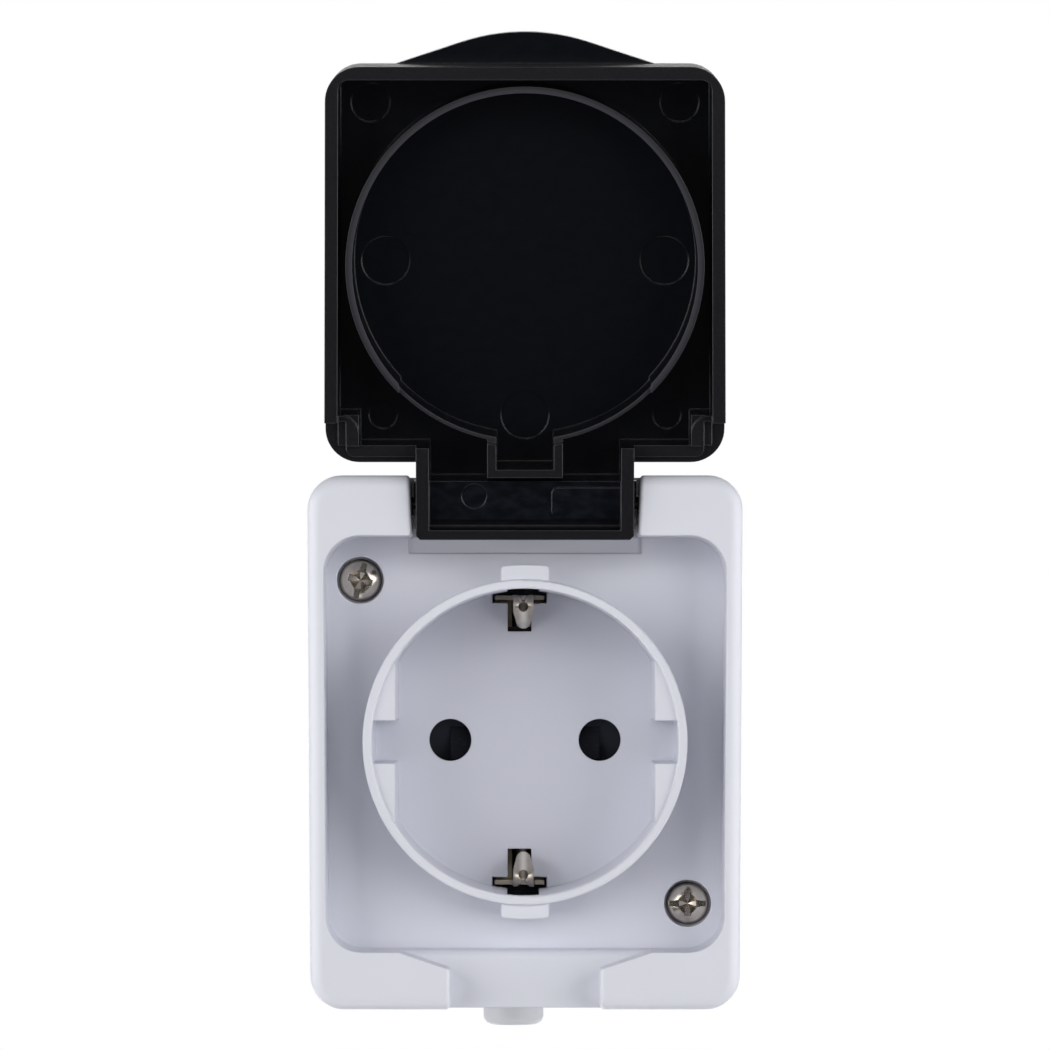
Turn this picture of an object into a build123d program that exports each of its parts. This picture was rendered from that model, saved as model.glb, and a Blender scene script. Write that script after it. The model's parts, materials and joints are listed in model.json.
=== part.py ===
import math
import os

from build123d import *

os.makedirs("parts", exist_ok=True)

# The socket hangs on a wall at Y = 0 and faces -Y. The plug's axis runs through the origin.
# Heights are measured from the wall, and levels are measured up and down from the plug's axis.

# Housing
housing_top_width = 54.0
housing_bottom_width = 53.0
housing_top = 33.0
housing_bottom = -33.0
housing_depth = 46.0
corner_radius = 4.3
front_rounding = 1.6
cover_wall = 2.0

# Frame round the opening, and the plate at the opening's bottom
frame_top = 7.5
frame_bottom = 7.1
opening_radius = 4.5
plate_recess = 9.5
plate_thickness = 2.0
frame_rounding = 0.5

# Finger notch in the bottom of the frame
notch_wide = 15.6
notch_narrow = 9.3
notch_slope = 2.1
notch_depth = 5.0
notch_rounding = 1.0

# Plug well
well_radius = 19.0
well_wall = 1.1
well_depth = 17.5
rim_recess = 1.0
rim_rounding = 0.25
floor_thickness = 2.0
key_depth = 2.9
key_gap = 5.3
key_drop = 0.6
tab_width = 5.9
tab_proud = 1.8
tab_drop = 0.8
tab_rounding = 0.4
earth_channel_width = 4.0
earth_channel_offset = -0.25
earth_channel_depth = 1.7
earth_channel_cap = 1.2

# Holes in the well's floor
pin_spacing = 19.0
pin_hole_radius = 2.68
slot_offset = -0.7
bar_slot_width = 6.9
bar_slot_depth = 1.6
stem_slot_width = 3.0
stem_slot_depth = 5.2

# Cover screws on one diagonal
screw_side_margin = 4.25
screw_top_margin = 5.35
screw_bottom_margin = 5.6
screw_head_radius = 2.68
screw_head_height = 2.0
screw_head_seat = 1.2
screw_head_room = 0.25
screw_head_rounding = 0.8
screw_shank_radius = 1.75
screw_length = 26.0
screw_turns = (75.0, 0.0)
cross_length = 3.4
cross_depth = 1.3
sleeve_radius = 4.1

# Wall box
base_height = 20.0
base_floor = 2.5
lip_height = 2.5
lip_thickness = 1.25
lip_clearance = 0.15
seam_gap = 0.2
least_radius = 0.5
boss_radius = 3.6
fixing_margin = 4.6
fixing_hole_radius = 2.3
fixing_seat_radius = 4.0
fixing_seat_height = 1.2

# Seal between wall box and cover
gasket_inset = 0.5
gasket_width = 1.0
gasket_depth = 0.7

# Cable entry in the bottom wall
entry_x = -1.5
entry_drop = 8.0
entry_radius = 4.8
grommet_stub_radius = 3.9
grommet_stub_length = 4.1
grommet_flange = 1.2
grommet_flange_radius = 6.0
grommet_bore = 2.6
grommet_membrane = 0.9
grommet_rounding = 1.2

# Hinge
hinge_drop = 3.7
hinge_inset = 3.6
hinge_gap = 13.95
gap_flare = 0.3
swing_clearance = 0.68
pin_radius = 1.2
pin_clearance = 0.05
pin_recess = 0.6
pin_seat = 1.0
ear_inner_wall = 2.2
step_length = 2.0
step_depth = 0.5
step_reach = 0.65

# Lid, measured from the hinge axis along the lid and across it towards its inside
lid_open_angle = 170.0
lid_clearance = 0.2
lid_end_clearance = 0.6
lid_rim_gap = 1.2
lid_proud = 2.0
lid_plate = 1.6
lid_wall = 1.6
lid_corner = 4.2
lid_inner_corner = 1.3
lid_rounding = 1.0
shoulder_reach = 5.6
shoulder_rim = 1.0
shoulder_length = 5.3
shoulder_end_wall = 2.2
shoulder_side_relief = 2.6
shoulder_end_relief = 0.75
shoulder_relief_drop = 0.8
shoulder_rounding = 1.0
corner_block_width = 1.6
corner_block_length = 3.8
corner_block_rim = 2.8
corner_ledge_drop = 0.9
corner_block_roundness = 0.88
tongue_gap = 0.5
tongue_end = 3.6
tongue_end_wall = 1.2
tongue_rounding = 3.0
tongue_chamfer = 0.5
hub_face = 2.2
hub_start = 1.4
hub_end = 3.4
hub_slot_depth = 1.2
hub_boss_radius = 3.2
hub_boss_gap = 0.15
hub_pad_inner = 3.3
hub_pad_start = -1.2
hub_pad_end = 2.6
hub_pad_rise = 0.5
hub_pad_rounding = 0.8
hub_mark_x = -6.3
hub_mark_along = 1.5
hub_mark_radius = 1.55
ring_gap = 1.1
ring_wall = 0.8
ring_shift = 0.9
ring_drop = 0.2
ring_relief = 0.35
ring_relief_drop = 1.7
ring_relief_reach = 15.5
ring_relief_margin = 0.3
relief_room = 0.6
relief_wall = 1.1
relief_end_room = 2.3
relief_end_wall = 1.0
finger_lip_reach = 3.9
finger_lip_over = 0.3
finger_lip_depth = 2.2
finger_lip_flank = 1.34
mark_depth = 0.25
large_mark_radius = 3.0
middle_mark_radius = 2.4
small_mark_radius = 1.75
large_mark_margin = 3.9
middle_mark_margin = 2.1
middle_mark_end = 4.8
small_mark_margin = 3.5

# Contact carrier, its heights measured down from its top or up from the wall box's floor
shutter_room = 5.0
carrier_corner = 2.0
chamber_width = 8.6
chamber_length = 11.2
chamber_base = 2.9
terminal_level = 11.8
terminal_width = 7.0
terminal_length = 7.5
terminal_depth = 11.5
link_slot_width = 5.4
wire_hole_radius = 1.9
lug_wall_gap = 0.15
lug_radius = 3.0
lug_foot = 4.0
lug_thickness = 2.5
carrier_screw_radius = 1.5
carrier_head_radius = 2.5
carrier_head_height = 2.0
carrier_head_gap = 0.7
carrier_screw_tip = 0.7

# Pin contacts and terminals
sheet = 0.8
contact_gap = 2.45
contact_mouth = 3.7
contact_sink = 0.9
contact_mouth_depth = 2.6
contact_length = 6.0
contact_foot = 1.0
link_width = 4.6
link_depth = 6.9
clip_sheet = 0.5
clip_gap = 0.05
clip_depth = 4.6
clip_width = 3.0
cage_width = 6.2
cage_length = 6.4
cage_sink = 3.1
cage_foot = 0.3
cage_base = 1.3
cage_window_width = 4.8
clamp_screw_radius = 1.5
clamp_head_radius = 2.5
clamp_head_height = 2.0
screw_fit = 0.05
driver_slot = 0.8

# Earth strap
strap_sheet = 0.6
strap_side_room = 0.3
strap_wall_room = 0.6
strap_overhang = 1.4
strap_sink = 0.85
strap_channel_room = 0.4
finger_x = -0.2
finger_width = 2.6
finger_crest = 7.6
finger_bend_reach = 3.1
finger_bend_rise = 3.2
finger_tip_reach = 3.95
finger_tip_rise = 0.6
finger_bend_radius = 0.9
finger_tip_radius = 0.95
finger_fork_depth = 1.0
finger_fork_width = 1.6
finger_hole_radius = 0.6
finger_hole_reach = 1.55
bar_rise = 0.9
arm_level = 6.4
arm_width = 2.0

# Pin shutter
shutter_play = 0.3
shutter_width = 7.0
shutter_length = 6.8
shutter_low = 1.2
shutter_bridge_length = 5.0
shutter_bridge_drop = 0.8
rail_gap = 0.3
rail_width = 1.4
rail_bottom_level = -4.4
rail_top_level = 12.0
rail_drop = 1.2
stop_reach = 1.3
stop_width = 0.7
spring_seat_level = 13.0
spring_seat_thickness = 1.4
spring_seat_width = 8.0
spring_radius = 1.45
spring_wire = 0.4
spring_flat_count = 6
spring_turns = 6
spring_end_room = 0.2


def half_width(level, inset):
    """Half the housing's width at a level, set in from its sides, which narrow downwards."""
    share = (level - housing_bottom) / (housing_top - housing_bottom)
    width = housing_bottom_width + (housing_top_width - housing_bottom_width) * share
    return width / 2 - inset


# Places on the cover
sides = (-1, 1)
opening_top = housing_top - frame_top
opening_bottom = housing_bottom + frame_bottom
plate_height = housing_depth - plate_recess
plate_back = plate_height - plate_thickness
rim_height = housing_depth - rim_recess
floor_height = rim_height - well_depth
floor_back = floor_height - floor_thickness
well_outside = well_radius + well_wall
tab_height = rim_height - tab_drop
tab_reach = well_outside + tab_proud
pin_x = pin_spacing / 2
cover_edge = base_height + seam_gap
screw_inset = cover_wall + screw_side_margin
screw_top_level = opening_top - screw_top_margin
screw_bottom_level = opening_bottom + screw_bottom_margin
screw_places = [
    (-half_width(screw_top_level, screw_inset), screw_top_level),
    (half_width(screw_bottom_level, screw_inset), screw_bottom_level),
]

# Places in the wall box
boss_top = base_height + lip_height
lip_inset = cover_wall + lip_clearance
base_wall = lip_inset + lip_thickness
entry_height = base_height - entry_drop
fixing_inset = base_wall + fixing_margin
fixing_places = [(0, housing_top - fixing_inset), (0, housing_bottom + fixing_inset)]

# Places on the lid
hinge_level = housing_top - hinge_drop
hinge_height = housing_depth - hinge_inset
lid_rim = hinge_height - plate_height - lid_rim_gap
lid_back = hinge_height - housing_depth - lid_proud
lid_inside = lid_back + lid_plate
lid_end = hinge_level - opening_bottom - lid_end_clearance
swing_radius = math.hypot(tongue_end, lid_rim) + swing_clearance
tongue_half = hinge_gap - tongue_gap
ring_radius = well_outside + ring_gap
ring_centre = hinge_level + ring_shift
ring_top = lid_rim - ring_drop
relief_half = tab_width / 2 + relief_room
relief_end = hinge_level - tab_reach - relief_end_room
finger_lip_half = notch_wide + finger_lip_over
flank_angle = math.atan(finger_lip_flank * finger_lip_reach / finger_lip_half)
finger_lip_radius = (finger_lip_half * math.tan(flank_angle) - finger_lip_reach) / (
    math.sin(flank_angle) * math.tan(flank_angle) + math.cos(flank_angle) - 1
)
flank_start = finger_lip_radius * math.sin(flank_angle)
flank_top = lid_end + finger_lip_reach - finger_lip_radius * (1 - math.cos(flank_angle))
lean = math.radians(180.0 - lid_open_angle)
lid_plane = Plane(
    origin=(0, -hinge_height, hinge_level),
    x_dir=(1, 0, 0),
    z_dir=(0, -math.cos(lean), -math.sin(lean)),
)
tongue_plane = Plane(
    origin=lid_plane.origin, x_dir=lid_plane.y_dir, z_dir=lid_plane.x_dir
)
lid_across = Axis(lid_plane.origin, lid_plane.z_dir)
ejector_marks = [
    (ring_radius - large_mark_margin, ring_centre, large_mark_radius),
    (ring_radius - middle_mark_margin, lid_end - middle_mark_end, middle_mark_radius),
    (ring_radius - small_mark_margin, shoulder_reach + shoulder_length, small_mark_radius),
]

# Places on the contact carrier and what it holds
carrier_top = floor_back - shutter_room
chamber_floor = base_floor + chamber_base
terminal_floor = carrier_top - terminal_depth
lug_bottom = base_floor + lug_foot
carrier_screw_bottom = base_floor + carrier_screw_tip
lug_x = half_width(0, base_wall + lug_wall_gap) - lug_radius
lug_places = [(-lug_x, 0), (lug_x, 0)]
carrier_width = 2 * (lug_x - carrier_head_radius - carrier_head_gap)
contact_top = carrier_top - contact_sink
contact_waist = contact_top - contact_mouth_depth
contact_bottom = chamber_floor + contact_foot
link_height = carrier_top - link_depth
clip_height = contact_top - clip_depth
cage_top = carrier_top - cage_sink
cage_bottom = terminal_floor + cage_foot
cage_window_bottom = cage_bottom + cage_base
wire_height = (cage_window_bottom + link_height) / 2
terminal_places = [(-pin_x, -terminal_level), (pin_x, -terminal_level), (pin_x, terminal_level)]
strap_width = bar_slot_width - 2 * strap_side_room
strap_reach = well_radius - strap_wall_room
strap_height = carrier_top - strap_sink
carrier_length = 2 * (strap_reach - strap_overhang)
finger_bend_level = strap_reach - finger_bend_reach
finger_tip_level = strap_reach - finger_tip_reach
shutter_bottom = carrier_top + shutter_play
shutter_top = floor_back - shutter_play
shutter_bridge_height = shutter_top - shutter_bottom - shutter_bridge_drop
rail_height = shutter_room - rail_drop


def at_height(height):
    """Plane parallel to the wall, facing away from it."""
    return Plane.XZ.offset(height)


def tapered_outline(top, bottom, inset, radius):
    """Rounded outline between two levels, set in from the housing's sides."""
    Polygon(
        (-half_width(bottom, inset), bottom),
        (half_width(bottom, inset), bottom),
        (half_width(top, inset), top),
        (-half_width(top, inset), top),
        align=None,
    )
    fillet(vertices(), radius)


def housing_outline(inset):
    """The housing's own outline, set in all round."""
    radius = max(corner_radius - inset, least_radius)
    tapered_outline(housing_top - inset, housing_bottom + inset, inset, radius)


def lid_half(along):
    """Half the lid's width at a distance from the hinge axis."""
    return half_width(hinge_level - along, cover_wall + lid_clearance)


def lid_outline(near, inset, radius):
    """Rounded outline from a line near the hinge to the lid's free end, set in from its sides."""
    far = lid_end - inset
    Polygon(
        (-lid_half(near) + inset, near),
        (lid_half(near) - inset, near),
        (lid_half(far) - inset, far),
        (-lid_half(far) + inset, far),
        align=None,
    )
    fillet(vertices(), radius)


# Room that the lid's tongue sweeps between the ears
with BuildPart() as swing_room:
    with BuildSketch(at_height(plate_back)):
        Polygon(
            (-hinge_gap, opening_top),
            (hinge_gap, opening_top),
            (hinge_gap + gap_flare, housing_top),
            (-hinge_gap - gap_flare, housing_top),
            align=None,
        )
    extrude(amount=housing_depth - plate_back)
    with BuildSketch(Plane.YZ.offset(-housing_top_width)):
        with Locations((-hinge_height, hinge_level)):
            Circle(swing_radius)
        with Locations((-hinge_height, hinge_level)):
            Rectangle(2 * plate_recess, 4 * swing_radius, align=(Align.MAX, Align.CENTER))
    extrude(amount=2 * housing_top_width, mode=Mode.INTERSECT)

# Cover: frame, ears, plate and plug well in one moulding
with BuildPart() as front_cover:
    with BuildSketch(at_height(cover_edge)):
        housing_outline(0)
    extrude(amount=housing_depth - cover_edge)
    fillet(front_cover.faces().sort_by(Axis.Y)[0].edges(), front_rounding)
    with BuildSketch(at_height(cover_edge)):
        housing_outline(cover_wall)
    extrude(amount=plate_back - cover_edge, mode=Mode.SUBTRACT)
    with BuildSketch(at_height(plate_height)):
        tapered_outline(opening_top, opening_bottom, cover_wall, opening_radius)
    extrude(amount=plate_recess, mode=Mode.SUBTRACT)

    # Hollows behind the ears, the bottom corners and the notch
    ear_start = hinge_gap + gap_flare + ear_inner_wall
    ear_end = half_width(opening_top, cover_wall)
    foot_start = notch_narrow + cover_wall
    foot_end = half_width(housing_bottom, cover_wall) - least_radius
    notch_low = opening_bottom - notch_slope
    with BuildSketch(at_height(plate_back)):
        for side in sides:
            with Locations((side * (ear_start + ear_end) / 2, (opening_top + housing_top) / 2)):
                Rectangle(ear_end - ear_start, housing_top - opening_top - 2 * cover_wall)
            with Locations((side * (foot_start + foot_end) / 2, housing_bottom + cover_wall)):
                foot_hollow = notch_low - housing_bottom - cover_wall
                Rectangle(foot_end - foot_start, foot_hollow, align=(Align.CENTER, Align.MIN))
    extrude(amount=housing_depth - cover_wall - plate_back, mode=Mode.SUBTRACT)
    with BuildSketch(at_height(plate_back)):
        with Locations((0, housing_bottom + cover_wall)):
            Rectangle(2 * foot_start, foot_hollow, align=(Align.CENTER, Align.MIN))
    extrude(amount=plate_recess - notch_depth, mode=Mode.SUBTRACT)

    # Room for the tongue, the step below it, and the finger notch
    add(swing_room.part, mode=Mode.SUBTRACT)
    with BuildSketch(at_height(plate_height - step_depth)):
        with Locations((0, opening_top)):
            Rectangle(2 * (hinge_gap + step_reach), step_length, align=(Align.CENTER, Align.MAX))
    extrude(amount=step_depth, mode=Mode.SUBTRACT)
    with BuildSketch(at_height(housing_depth - notch_depth)):
        Polygon(
            (-notch_wide, opening_bottom),
            (-notch_narrow, notch_low),
            (-notch_narrow, housing_bottom),
            (notch_narrow, housing_bottom),
            (notch_narrow, notch_low),
            (notch_wide, opening_bottom),
            align=None,
        )
    extrude(amount=notch_depth, mode=Mode.SUBTRACT)
    notch_edge = front_cover.edges().filter_by(Axis.X).sort_by_distance(
        (0, notch_depth - housing_depth, opening_bottom)
    )[0]
    fillet(notch_edge, notch_rounding)

    # Rounded corners where the frame is cut through by the tongue's room and the notch
    cut_corners = [
        (hinge_gap, opening_top),
        (hinge_gap + gap_flare, housing_top),
        (notch_narrow, housing_bottom),
        (notch_narrow, notch_low),
    ]
    upright_edges = front_cover.edges().filter_by(Axis.Y)
    corner_edges = [
        upright_edges.sort_by_distance((side * corner_x, -housing_depth, corner_level))[0]
        for side in sides
        for corner_x, corner_level in cut_corners
    ]
    fillet(corner_edges, frame_rounding)

    # Plug well with its outside tabs and inside key blocks
    with BuildSketch(at_height(floor_back)):
        Circle(well_outside)
    extrude(amount=rim_height - floor_back)
    with BuildSketch(at_height(floor_back)):
        Circle(tab_reach)
        Rectangle(tab_width, 2 * tab_reach, mode=Mode.INTERSECT)
        fillet(vertices(), tab_rounding)
    extrude(amount=tab_height - floor_back)
    with BuildSketch(at_height(floor_height)):
        Circle(well_radius)
    extrude(amount=well_depth, mode=Mode.SUBTRACT)
    with BuildSketch(at_height(floor_height)):
        Circle(well_radius)
        Rectangle(2 * (well_radius - key_depth), 2 * well_radius, mode=Mode.SUBTRACT)
        Rectangle(2 * well_radius, key_gap, mode=Mode.SUBTRACT)
    extrude(amount=well_depth - key_drop)
    rim_edges = front_cover.edges().filter_by(GeomType.CIRCLE).filter_by_position(
        Axis.Y, -rim_height - rim_rounding, -rim_height + rim_rounding
    )
    fillet(rim_edges, rim_rounding)

    # Channels for the earth fingers, their slots and the pin holes
    with BuildSketch(at_height(floor_back)):
        with Locations((earth_channel_offset, 0)):
            Rectangle(earth_channel_width, 2 * (well_radius + earth_channel_depth))
        Circle(well_radius - bar_slot_depth, mode=Mode.SUBTRACT)
    extrude(amount=tab_height - earth_channel_cap - floor_back, mode=Mode.SUBTRACT)
    with BuildSketch(at_height(floor_back)):
        with Locations((slot_offset, 0)):
            Rectangle(bar_slot_width, 2 * well_radius)
            Rectangle(bar_slot_width, 2 * (well_radius - bar_slot_depth), mode=Mode.SUBTRACT)
            Rectangle(stem_slot_width, 2 * well_radius)
            Rectangle(stem_slot_width, 2 * (well_radius - stem_slot_depth), mode=Mode.SUBTRACT)
        Circle(well_radius, mode=Mode.INTERSECT)
        with Locations((-pin_x, 0), (pin_x, 0)):
            Circle(pin_hole_radius)
    extrude(amount=floor_thickness, mode=Mode.SUBTRACT)

    # Screw sleeves down to the wall box
    with BuildSketch(at_height(boss_top + seam_gap)):
        with Locations(*screw_places):
            Circle(sleeve_radius)
    extrude(amount=plate_height - boss_top - seam_gap)
    with BuildSketch(at_height(boss_top)):
        with Locations(*screw_places):
            Circle(screw_shank_radius + screw_head_room)
    extrude(amount=plate_height - boss_top, mode=Mode.SUBTRACT)
    with BuildSketch(at_height(plate_height - screw_head_seat)):
        with Locations(*screw_places):
            Circle(screw_head_radius + screw_head_room)
    extrude(amount=screw_head_seat, mode=Mode.SUBTRACT)

    # Bore for the hinge pin, open at the left side
    pin_start = half_width(hinge_level, pin_recess)
    pin_end = half_width(hinge_level, cover_wall) + pin_seat
    with BuildSketch(Plane.YZ.offset(-housing_top_width)):
        with Locations((-hinge_height, hinge_level)):
            Circle(pin_radius)
    extrude(amount=housing_top_width + pin_end, mode=Mode.SUBTRACT)
front_cover.part.label = "front_cover"
export_step(front_cover.part, "parts/front_cover.step")

# Wall box with a lip for the cover, screw bosses, fixing holes and the cable entry
with BuildPart() as rear_base:
    with BuildSketch(at_height(0)):
        housing_outline(0)
    extrude(amount=base_height)
    with BuildSketch(at_height(base_height)):
        housing_outline(lip_inset)
    extrude(amount=lip_height)
    with BuildSketch(at_height(base_floor)):
        housing_outline(base_wall)
    extrude(amount=boss_top - base_floor, mode=Mode.SUBTRACT)
    with BuildSketch(at_height(base_height - gasket_depth)):
        housing_outline(gasket_inset)
        offset(amount=-gasket_width, mode=Mode.SUBTRACT)
    extrude(amount=gasket_depth, mode=Mode.SUBTRACT)
    with BuildSketch(at_height(base_floor)):
        with Locations(*screw_places):
            Circle(boss_radius)
    extrude(amount=boss_top - base_floor)
    with BuildSketch(at_height(base_floor)):
        with Locations(*lug_places):
            Circle(lug_radius)
    extrude(amount=lug_bottom - base_floor)
    with BuildSketch(at_height(base_floor)):
        with Locations(*fixing_places):
            Circle(fixing_seat_radius)
    extrude(amount=fixing_seat_height)
    screw_tip = plate_height - screw_head_seat - screw_length
    with BuildSketch(at_height(screw_tip)):
        with Locations(*screw_places):
            Circle(screw_shank_radius + screw_fit)
    extrude(amount=boss_top - screw_tip, mode=Mode.SUBTRACT)
    with BuildSketch(at_height(carrier_screw_bottom)):
        with Locations(*lug_places):
            Circle(carrier_screw_radius + screw_fit)
    extrude(amount=lug_bottom - carrier_screw_bottom, mode=Mode.SUBTRACT)
    with BuildSketch(at_height(0)):
        with Locations(*fixing_places):
            Circle(fixing_hole_radius)
    extrude(amount=base_floor + fixing_seat_height, mode=Mode.SUBTRACT)
    with BuildSketch(Plane.XY.offset(housing_bottom)):
        with Locations((entry_x, -entry_height)):
            Circle(entry_radius)
    extrude(amount=base_wall, mode=Mode.SUBTRACT)
rear_base.part.label = "rear_base"
export_step(rear_base.part, "parts/rear_base.step")

# Seal that lies in the wall box's groove and meets the cover's edge
with BuildPart() as cover_gasket:
    with BuildSketch(at_height(base_height - gasket_depth)):
        housing_outline(gasket_inset)
        offset(amount=-gasket_width, mode=Mode.SUBTRACT)
    extrude(amount=gasket_depth + seam_gap)
cover_gasket.part.label = "cover_gasket"
export_step(cover_gasket.part, "parts/cover_gasket.step")

# Cover screws with raised heads, a slot right across and a shorter cross
with BuildPart() as cover_screws:
    head_seat = plate_height - screw_head_seat
    head_top = head_seat + screw_head_height
    with BuildSketch(at_height(head_seat - screw_length)):
        with Locations(*screw_places):
            Circle(screw_shank_radius)
    extrude(amount=screw_length)
    with BuildSketch(at_height(head_seat)):
        with Locations(*screw_places):
            Circle(screw_head_radius)
    extrude(amount=screw_head_height)
    fillet(cover_screws.faces().sort_by(Axis.Y)[0:2].edges(), screw_head_rounding)
    with BuildSketch(at_height(head_top - driver_slot)):
        for place, turn in zip(screw_places, screw_turns):
            with Locations(Location((place[0], place[1], 0), (0, 0, turn))):
                Rectangle(2 * screw_head_radius + driver_slot, driver_slot)
    extrude(amount=driver_slot, mode=Mode.SUBTRACT)
    with BuildSketch(at_height(head_top - cross_depth)):
        for place, turn in zip(screw_places, screw_turns):
            with Locations(Location((place[0], place[1], 0), (0, 0, turn))):
                Rectangle(driver_slot, cross_length)
                Rectangle(cross_length, driver_slot)
    extrude(amount=cross_depth, mode=Mode.SUBTRACT)
cover_screws.part.label = "cover_screws"
export_step(cover_screws.part, "parts/cover_screws.step")

# Steel hinge pin through both ears
with BuildPart() as hinge_pin:
    with BuildSketch(Plane.YZ.offset(-pin_start)):
        with Locations((-hinge_height, hinge_level)):
            Circle(pin_radius)
    extrude(amount=pin_start + pin_end)
hinge_pin.part.label = "hinge_pin"
export_step(hinge_pin.part, "parts/hinge_pin.step")

# Soft cable grommet, its stub still closed by a membrane
with BuildPart() as cable_grommet:
    wall_inside = housing_bottom + base_wall
    stub_end = housing_bottom - grommet_stub_length
    with BuildSketch(at_height(entry_height)):
        with BuildLine():
            Polyline(
                (entry_x, stub_end),
                (entry_x + grommet_stub_radius, stub_end),
                (entry_x + grommet_stub_radius, housing_bottom - grommet_flange),
                (entry_x + grommet_flange_radius, housing_bottom - grommet_flange),
                (entry_x + grommet_flange_radius, housing_bottom),
                (entry_x + entry_radius, housing_bottom),
                (entry_x + entry_radius, wall_inside),
                (entry_x + grommet_flange_radius, wall_inside),
                (entry_x + grommet_flange_radius, wall_inside + grommet_flange),
                (entry_x + grommet_bore, wall_inside + grommet_flange),
                (entry_x + grommet_bore, stub_end + grommet_membrane),
                (entry_x, stub_end + grommet_membrane),
                close=True,
            )
        make_face()
        fillet(vertices().sort_by(Axis.Y)[0:2].sort_by(Axis.X)[-1], grommet_rounding)
    revolve(axis=Axis((entry_x, -entry_height, 0), (0, 0, 1)))
cable_grommet.part.label = "cable_grommet"
export_step(cable_grommet.part, "parts/cable_grommet.step")

# Lid, modelled where it stands open: shell, tongue and finger lip, then the hollows, then the ring
with BuildPart() as lid:
    with BuildSketch(lid_plane.offset(lid_back)):
        lid_outline(shoulder_reach, 0, lid_corner)
    extrude(amount=lid_rim - lid_back)
    fillet(lid.faces().sort_by(lid_across)[0].edges(), lid_rounding)
    with BuildSketch(tongue_plane.offset(-tongue_half)):
        Polygon(
            (-tongue_end, lid_back),
            (shoulder_reach + lid_wall, lid_back),
            (shoulder_reach + lid_wall, lid_rim),
            (-tongue_end, lid_rim),
            align=None,
        )
        fillet(vertices().sort_by(Axis.X)[0:2].sort_by(Axis.Y)[0], tongue_rounding)
    extrude(amount=2 * tongue_half)
    with BuildSketch(lid_plane.offset(lid_back)):
        Polygon(
            (tongue_half, -tongue_end),
            (tongue_half, -tongue_end + tongue_chamfer),
            (tongue_half - tongue_chamfer, -tongue_end),
            align=None,
        )
        mirror(about=Plane.YZ)
    extrude(amount=lid_rim - lid_back, mode=Mode.SUBTRACT)
    with BuildSketch(tongue_plane.offset(-hinge_gap + hub_boss_gap)):
        Circle(hub_boss_radius)
    extrude(amount=2 * (hinge_gap - hub_boss_gap))
    with BuildSketch(lid_plane.offset(lid_back)):
        with BuildLine():
            Polyline(
                (-flank_start, flank_top),
                (-finger_lip_half, lid_end),
                (-finger_lip_half, lid_end - lid_wall),
                (finger_lip_half, lid_end - lid_wall),
                (finger_lip_half, lid_end),
                (flank_start, flank_top),
            )
            ThreePointArc(
                (-flank_start, flank_top), (0, lid_end + finger_lip_reach), (flank_start, flank_top)
            )
        make_face()
    extrude(amount=finger_lip_depth)

    # Hollow of the shell, and of the tongue in front of the hub
    tongue_inner = tongue_half - lid_wall
    tongue_floor = -tongue_end + tongue_end_wall
    block_start = shoulder_reach + shoulder_end_wall
    with BuildSketch(lid_plane.offset(lid_inside)):
        lid_outline(block_start, lid_wall, lid_inner_corner)
    extrude(amount=lid_rim - lid_inside, mode=Mode.SUBTRACT)
    with BuildSketch(lid_plane.offset(lid_inside)):
        with Locations((0, hub_end)):
            Rectangle(
                2 * tongue_inner,
                block_start + lid_wall - hub_end,
                align=(Align.CENTER, Align.MIN),
            )
    extrude(amount=lid_rim - lid_inside, mode=Mode.SUBTRACT)
    with BuildSketch(lid_plane.offset(hub_face)):
        with Locations((0, tongue_floor)):
            Rectangle(2 * tongue_inner, hub_end - tongue_floor, align=(Align.CENTER, Align.MIN))
    extrude(amount=lid_rim - hub_face, mode=Mode.SUBTRACT)
    with BuildSketch(lid_plane.offset(hub_face - hub_slot_depth)):
        with Locations((0, tongue_floor)):
            Rectangle(2 * tongue_inner, -hub_start - tongue_floor, align=(Align.CENTER, Align.MIN))
    extrude(amount=hub_slot_depth, mode=Mode.SUBTRACT)
    with BuildSketch(lid_plane.offset(hub_face)):
        with Locations((hub_pad_inner, hub_pad_start)):
            Rectangle(
                tongue_inner - hub_pad_inner,
                hub_pad_end - hub_pad_start,
                align=(Align.MIN, Align.MIN),
            )
        fillet(vertices().sort_by(Axis.X)[0:2], hub_pad_rounding)
    extrude(amount=hub_pad_rise)

    with BuildSketch(lid_plane.offset(hub_face - mark_depth)):
        with Locations((hub_mark_x, hub_mark_along)):
            Circle(hub_mark_radius)
    extrude(amount=mark_depth, mode=Mode.SUBTRACT)

    # Lower rim at the shoulders, lower still along its outside
    shoulder_end = shoulder_reach + shoulder_length
    with BuildSketch(lid_plane.offset(shoulder_rim + shoulder_relief_drop)):
        for side in sides:
            with Locations((side * tongue_half, 0)):
                outward = Align.MIN if side > 0 else Align.MAX
                Rectangle(housing_top_width, shoulder_end, align=(outward, Align.MIN))
    extrude(amount=lid_rim - shoulder_rim - shoulder_relief_drop, mode=Mode.SUBTRACT)
    with BuildSketch(lid_plane.offset(shoulder_rim)):
        with Locations((0, shoulder_end)):
            Rectangle(2 * housing_top_width, shoulder_end, align=(Align.CENTER, Align.MAX))
        with Locations((0, shoulder_reach + shoulder_end_relief)):
            RectangleRounded(
                2 * (lid_half(shoulder_reach) - shoulder_side_relief),
                2 * shoulder_end,
                shoulder_rounding,
                align=(Align.CENTER, Align.MIN),
                mode=Mode.SUBTRACT,
            )
        Rectangle(2 * tongue_half, 2 * shoulder_end, mode=Mode.SUBTRACT)
    extrude(amount=shoulder_relief_drop, mode=Mode.SUBTRACT)

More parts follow.
